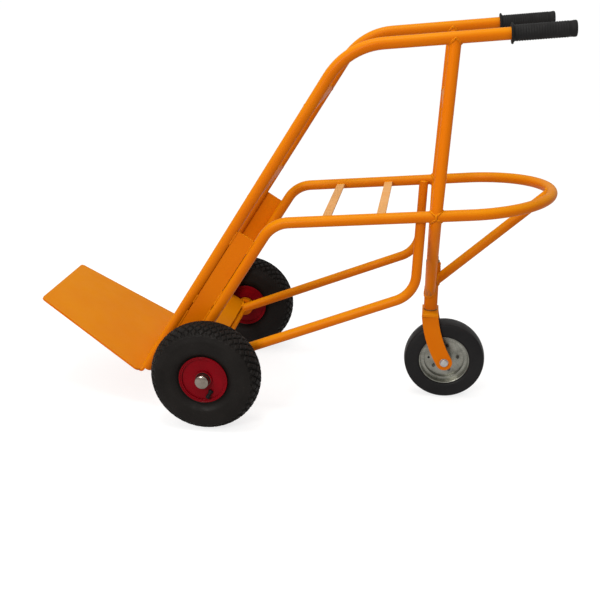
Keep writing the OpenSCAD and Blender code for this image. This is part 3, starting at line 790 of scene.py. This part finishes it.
def hoop_weld(start, d):
    """Where a light tube from start along d comes up against the hoop's round end."""
    centre = deck_pt(HOOP_START)
    u, v = frame_across(d)
    pts, nor = [], []
    for i in range(48):
        a = 2 * math.pi * i / 48
        out = u * math.cos(a) + v * math.sin(a)
        t = 0.18
        gap = 1.0
        while gap > 0.0001 and t < 0.36:
            q = start + out * LIGHT_R + d * t
            up = (q - centre).dot(DECK_UP)
            flat = q - centre - DECK_UP * up
            gap = math.hypot(flat.length - HALF_W, up) - TUBE_R
            t += max(gap * 0.7, 0.00005)
        side_n = (q - centre - flat.normalized() * HALF_W).normalized()
        n = (out + side_n).normalized()
        pts.append(q + n * 0.0006)
        nor.append(n)
    return bead(pts, nor, 0.0034, True)


def brace_welds():
    """The brace on the head tube and in the hoop's apex, and the long bead up the head tube."""
    hoop_apex = deck_pt(HOOP_START + HALF_W)
    brace_foot = Vector((SWIVEL_X, 0, BRACE_FOOT_Z))
    brace_dir = (hoop_apex - brace_foot).normalized()
    back = Vector((SWIVEL_X + HEAD_R + 0.0004, 0, 0))
    climb = [back + Z * z for z in np.linspace(0.318, 0.3508, 10)]
    return [bead(*meet(hoop_apex, -brace_dir, LIGHT_R, head_axis, Z, HEAD_R, 52), 0.0034, True),
            hoop_weld(brace_foot, brace_dir),
            bead(climb, [Vector((1, 0, 0))] * len(climb), 0.0040, height=0.8)]


def axle_welds():
    """The beam on the deck tubes, the rod along the beam, and the rod at the beam's end."""
    made = []
    for side in (-1, 1):
        y = -HALF_W + side * 0.0052
        made.append(seam(rail_pt(BEAM_SEAM, -0.015, y), rail_pt(BEAM_SEAM, 0.015, y),
                         side * Y - BACK_DIR * 0.6, 0.0032))
    for side in (-1, 1):
        up = side * 0.0042
        for y1, y2 in ((-0.196, -0.150), (-0.110, -0.070), (-0.020, 0.0)):
            made.append(seam(rail_pt(ROD_SEAM, up, y1), rail_pt(ROD_SEAM, up, y2),
                             BACK_DIR * 0.4 + side * RAIL_DIR, 0.0027))
    turn = np.linspace(0, 2 * math.pi, 40, endpoint=False)
    out = [Vector((math.cos(a), 0, math.sin(a))) for a in turn]
    ring = [AXLE + o * 0.0086 - Y * BEAM_END_Y for o in out]
    made.append(bead(ring, [(o * 0.0086 - Y * 0.0088).normalized() + Y * 0.6 for o in out],
                     0.0024, True))
    return made


def toe_welds():
    """The toe plate's upstand against the rail."""
    y = -HALF_W + TUBE_R - 0.0006
    back = RAIL_BACK - TUBE_R + 0.0106
    return [seam(rail_pt(back, -0.100, y), rail_pt(back, -0.066, y), BACK_DIR * 0.7 + Y * 0.7,
                 0.0030)]


one_side = rung_welds() + plate_welds() + deck_welds() + stay_welds() + leg_welds()
middle = brace_welds()
one_side += axle_welds() + toe_welds()
verts, faces = join(middle + one_side + [mirrored(part) for part in one_side])
piece("frame_welds", verts, faces, "frame", orange_weld)

# ---- caster: bolt with a chamfered head, its washer face and its nut ----

fork_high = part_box("fork")[1]
FORK_HALF_W = fork_high.y
HEX_R = 0.0098


def hex_profile(radius, height, place, chamfer=0.0016, dish=0.0):
    """A hexagonal head whose corners are turned down by a chamfer."""
    steps, levels = 72, 5
    flat = radius * math.cos(math.radians(30))
    verts = []
    for level in range(levels):
        for i in range(steps):
            a = 2 * math.pi * i / steps
            side = flat / math.cos((a % (math.pi / 3)) - math.pi / 6)
            top = height - chamfer * ((side - flat) / (radius - flat))
            r, h = ((side, 0.0), (side, top - 0.0002), (side - 0.0002, top),
                    (flat * 0.93, height), (flat * 0.5, height - dish))[level]
            verts.append(place @ Vector((r * math.cos(a), r * math.sin(a), h)))
    rows = [[level * steps + i for i in range(steps)] for level in range(levels)]
    faces = []
    for lower, upper in zip(rows, rows[1:]):
        for i in range(steps):
            j = (i + 1) % steps
            faces.append((lower[i], lower[j], upper[j], upper[i]))
    return verts, faces + [tuple(rows[-1]), tuple(reversed(rows[0]))]


to_left = Matrix.Rotation(math.radians(90), 4, "X")
to_right = Matrix.Rotation(math.radians(-90), 4, "X")
left_face = Matrix.Translation(CASTER - FORK_HALF_W * Y) @ to_left
right_face = Matrix.Translation(CASTER + FORK_HALF_W * Y) @ to_right
washer = [(0.0050, 0.0), (0.0105, 0.0), (0.0107, 0.0004), (0.0105, 0.0009), (0.0060, 0.0010)]
shank = [(0.0, -0.074), (0.0050, -0.074), (0.0050, 0.001), (0.0, 0.001)]
thread = [(0.0, 0.0100), (0.0040, 0.0100), (0.0048, 0.0094)]
h = 0.0090
while h > 0.0010:
    thread += [(0.0050, h), (0.0045, h - 0.0005)]
    h -= 0.0010
thread.append((0.0, h))
hex_left = Matrix.Translation(CASTER - (FORK_HALF_W + 0.0009) * Y) @ to_left
verts, faces = join([hex_profile(HEX_R, 0.0056, hex_left, dish=0.0004),
                     revolve(washer, 48, left_face, closed=True), revolve(shank, 32, left_face),
                     revolve(thread, 32, right_face)])
bolt = piece("caster_axle_bolt", verts, faces, "caster_fork", bright_steel)
sharpen(bolt)
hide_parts("caster_bolt")
verts, faces = hex_profile(HEX_R, 0.0078, right_face)
nut = piece("caster_axle_nut", verts, faces, "caster_fork", bright_steel)
sharpen(nut)
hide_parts("caster_nut")

# ---- a rubber plug in the hole of the caster rim's web ----

plug_turn = math.radians(183)
plug_at = CASTER + 0.038 * Vector((math.cos(plug_turn), 0, math.sin(plug_turn)))
plug_half = [(0.0, 0.0020), (0.0022, 0.0020), (0.0029, 0.0016), (0.0029, 0.0)]
plug = plug_half + [(r, -h) for r, h in reversed(plug_half[:-1])]
verts, faces = revolve(plug, 32, Matrix.Translation(plug_at) @ to_left)
piece("rim_hole_plug", verts, faces, "caster_wheel", caster_black)

# ---- the fork's crown: a thin bead along both folds ----

FOLD_HALF = 0.0205
FOLD_DROP = 0.008
folds = []
for side in (LEFT, RIGHT):
    fold = Vector((SWIVEL_X, side * FORK_HALF_W, fork_high.z - FOLD_DROP))
    along = Vector((FOLD_HALF, 0, 0))
    folds.append(seam(fold - along, fold + along, side * Y, 0.0014, 0.7))
verts, faces = join(folds)
piece("fork_crown_seams", verts, faces, "caster_fork", orange_weld)

# ---- axle caps: pressed domes with a small rolled edge ----

DOME_R = 0.040

for word, side in SIDES.items():
    low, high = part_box("axle_cap_" + word)
    inner_y, outer_y = (low.y, high.y) if side > 0 else (-high.y, -low.y)
    depth = outer_y - inner_y
    place = Matrix.Translation(Vector((AXLE.x, side * inner_y, AXLE.z))) @ (
        to_right if side > 0 else to_left)
    tip = depth - 0.0002
    outline = [(0.0, 0.0), (0.0159, 0.0), (0.0165, 0.0006), (0.0165, 0.0022),
               (0.0160, 0.0028), (0.0160, depth - 0.0040)]
    for a in np.radians(np.linspace(22, 2, 9)):
        outline.append((DOME_R * math.sin(a), tip - DOME_R * (1 - math.cos(a))))
    verts, faces = revolve(outline + [(0.0, tip)], 64, place)
    cap = piece("pressed_cap_" + word, verts, faces, "frame", cap_plate_painted_reflection)
    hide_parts("axle_cap_" + word)

# ---- camera ----

CAMERA_AT = Vector((AXLE.x + 0.491201, -2.138173, 1.027262))
YAW, PITCH, ROLL = 0.142, 0.352, 0.001
SENSOR_MM = 36
LENS_MM = 54.70254
forward = Vector((-math.sin(YAW) * math.cos(PITCH), math.cos(YAW) * math.cos(PITCH),
                  -math.sin(PITCH)))
level = Vector((math.cos(YAW), math.sin(YAW), 0))
over = level.cross(forward)
right = level * math.cos(ROLL) + over * math.sin(ROLL)
above = over * math.cos(ROLL) - level * math.sin(ROLL)
lens = bpy.data.cameras.new("camera")
lens.sensor_width = SENSOR_MM
lens.lens = LENS_MM
lens.clip_start, lens.clip_end = 0.05, 100
camera = bpy.data.objects.new("camera", lens)
bpy.context.scene.collection.objects.link(camera)
camera.matrix_world = Matrix.Translation(CAMERA_AT) @ turned(right, above, -forward)
bpy.context.scene.camera = camera

# ---- floor and light: both look paler to the camera than they shine on the truck ----

FLOOR_HALF = 60
FLOOR_GLOW, FLOOR_GLOW_SEEN = 0.30, 0.74
SKY_LOW, SKY_HIGH, SKY_SEEN = 0.36, 1.0, 1.0

corners = [(x * FLOOR_HALF, y * FLOOR_HALF, 0) for x, y in ((-1, -1), (1, -1), (1, 1), (-1, 1))]
mesh = bpy.data.meshes.new("floor")
mesh.from_pydata(corners, [], [(0, 1, 2, 3)])
floor = bpy.data.objects.new("floor", mesh)
bpy.context.scene.collection.objects.link(floor)
pale = Tree("pale_floor")
pale.set(color=pale.mix(pale.noise(1.5, 2), (0.34, 0.34, 0.338), (0.36, 0.36, 0.358)), rough=0.9,
         specular=0.0)
pale.shader.inputs["Emission Color"].default_value = (1, 1, 1, 1)
glow = pale.add("ShaderNodeMix")
pale.link(pale.add("ShaderNodeLightPath").outputs["Is Camera Ray"], glow.inputs[0])
glow.inputs[2].default_value = FLOOR_GLOW
glow.inputs[3].default_value = FLOOR_GLOW_SEEN
pale.link(glow.outputs[0], pale.shader.inputs["Emission Strength"])
mesh.materials.append(pale.mat)

world = bpy.data.worlds.new("studio")
bpy.context.scene.world = world
world.use_nodes = True
sky = world.node_tree
ground = sky.nodes["Background"]
direction = sky.nodes.new("ShaderNodeTexCoord")
height = sky.nodes.new("ShaderNodeSeparateXYZ")
fade = sky.nodes.new("ShaderNodeMapRange")
sky.links.new(direction.outputs["Generated"], height.inputs[0])
sky.links.new(height.outputs["Z"], fade.inputs[0])
for i, value in zip((1, 2, 3, 4), (0.0, 1.0, SKY_LOW, SKY_HIGH)):
    fade.inputs[i].default_value = value
seen = sky.nodes.new("ShaderNodeLightPath")
strength = sky.nodes.new("ShaderNodeMix")
sky.links.new(seen.outputs["Is Camera Ray"], strength.inputs[0])
sky.links.new(fade.outputs[0], strength.inputs[2])
strength.inputs[3].default_value = SKY_SEEN
sky.links.new(strength.outputs[0], ground.inputs["Strength"])
ground.inputs["Color"].default_value = (1.0, 0.995, 0.985, 1)


def area(name, at, target, width, power, color):
    """A square light that faces the target."""
    data = bpy.data.lights.new(name, "AREA")
    data.shape = "SQUARE"
    data.size = width
    data.energy = power
    data.color = color
    obj = bpy.data.objects.new(name, data)
    obj.location = at
    obj.rotation_euler = (Vector(target) - Vector(at)).to_track_quat("-Z", "Y").to_euler()
    bpy.context.scene.collection.objects.link(obj)


LIT_POINT = (0, 0, 0.3)
area("overhead", (-0.3, -0.7, 3.2), LIT_POINT, width=0.9, power=29, color=(1.0, 0.985, 0.95))
area("front", (-1.2, -3.2, 1.9), LIT_POINT, width=1.1, power=62, color=(1.0, 0.985, 0.96))
view = bpy.context.scene.view_settings
view.view_transform = "Standard"
view.look = "None"
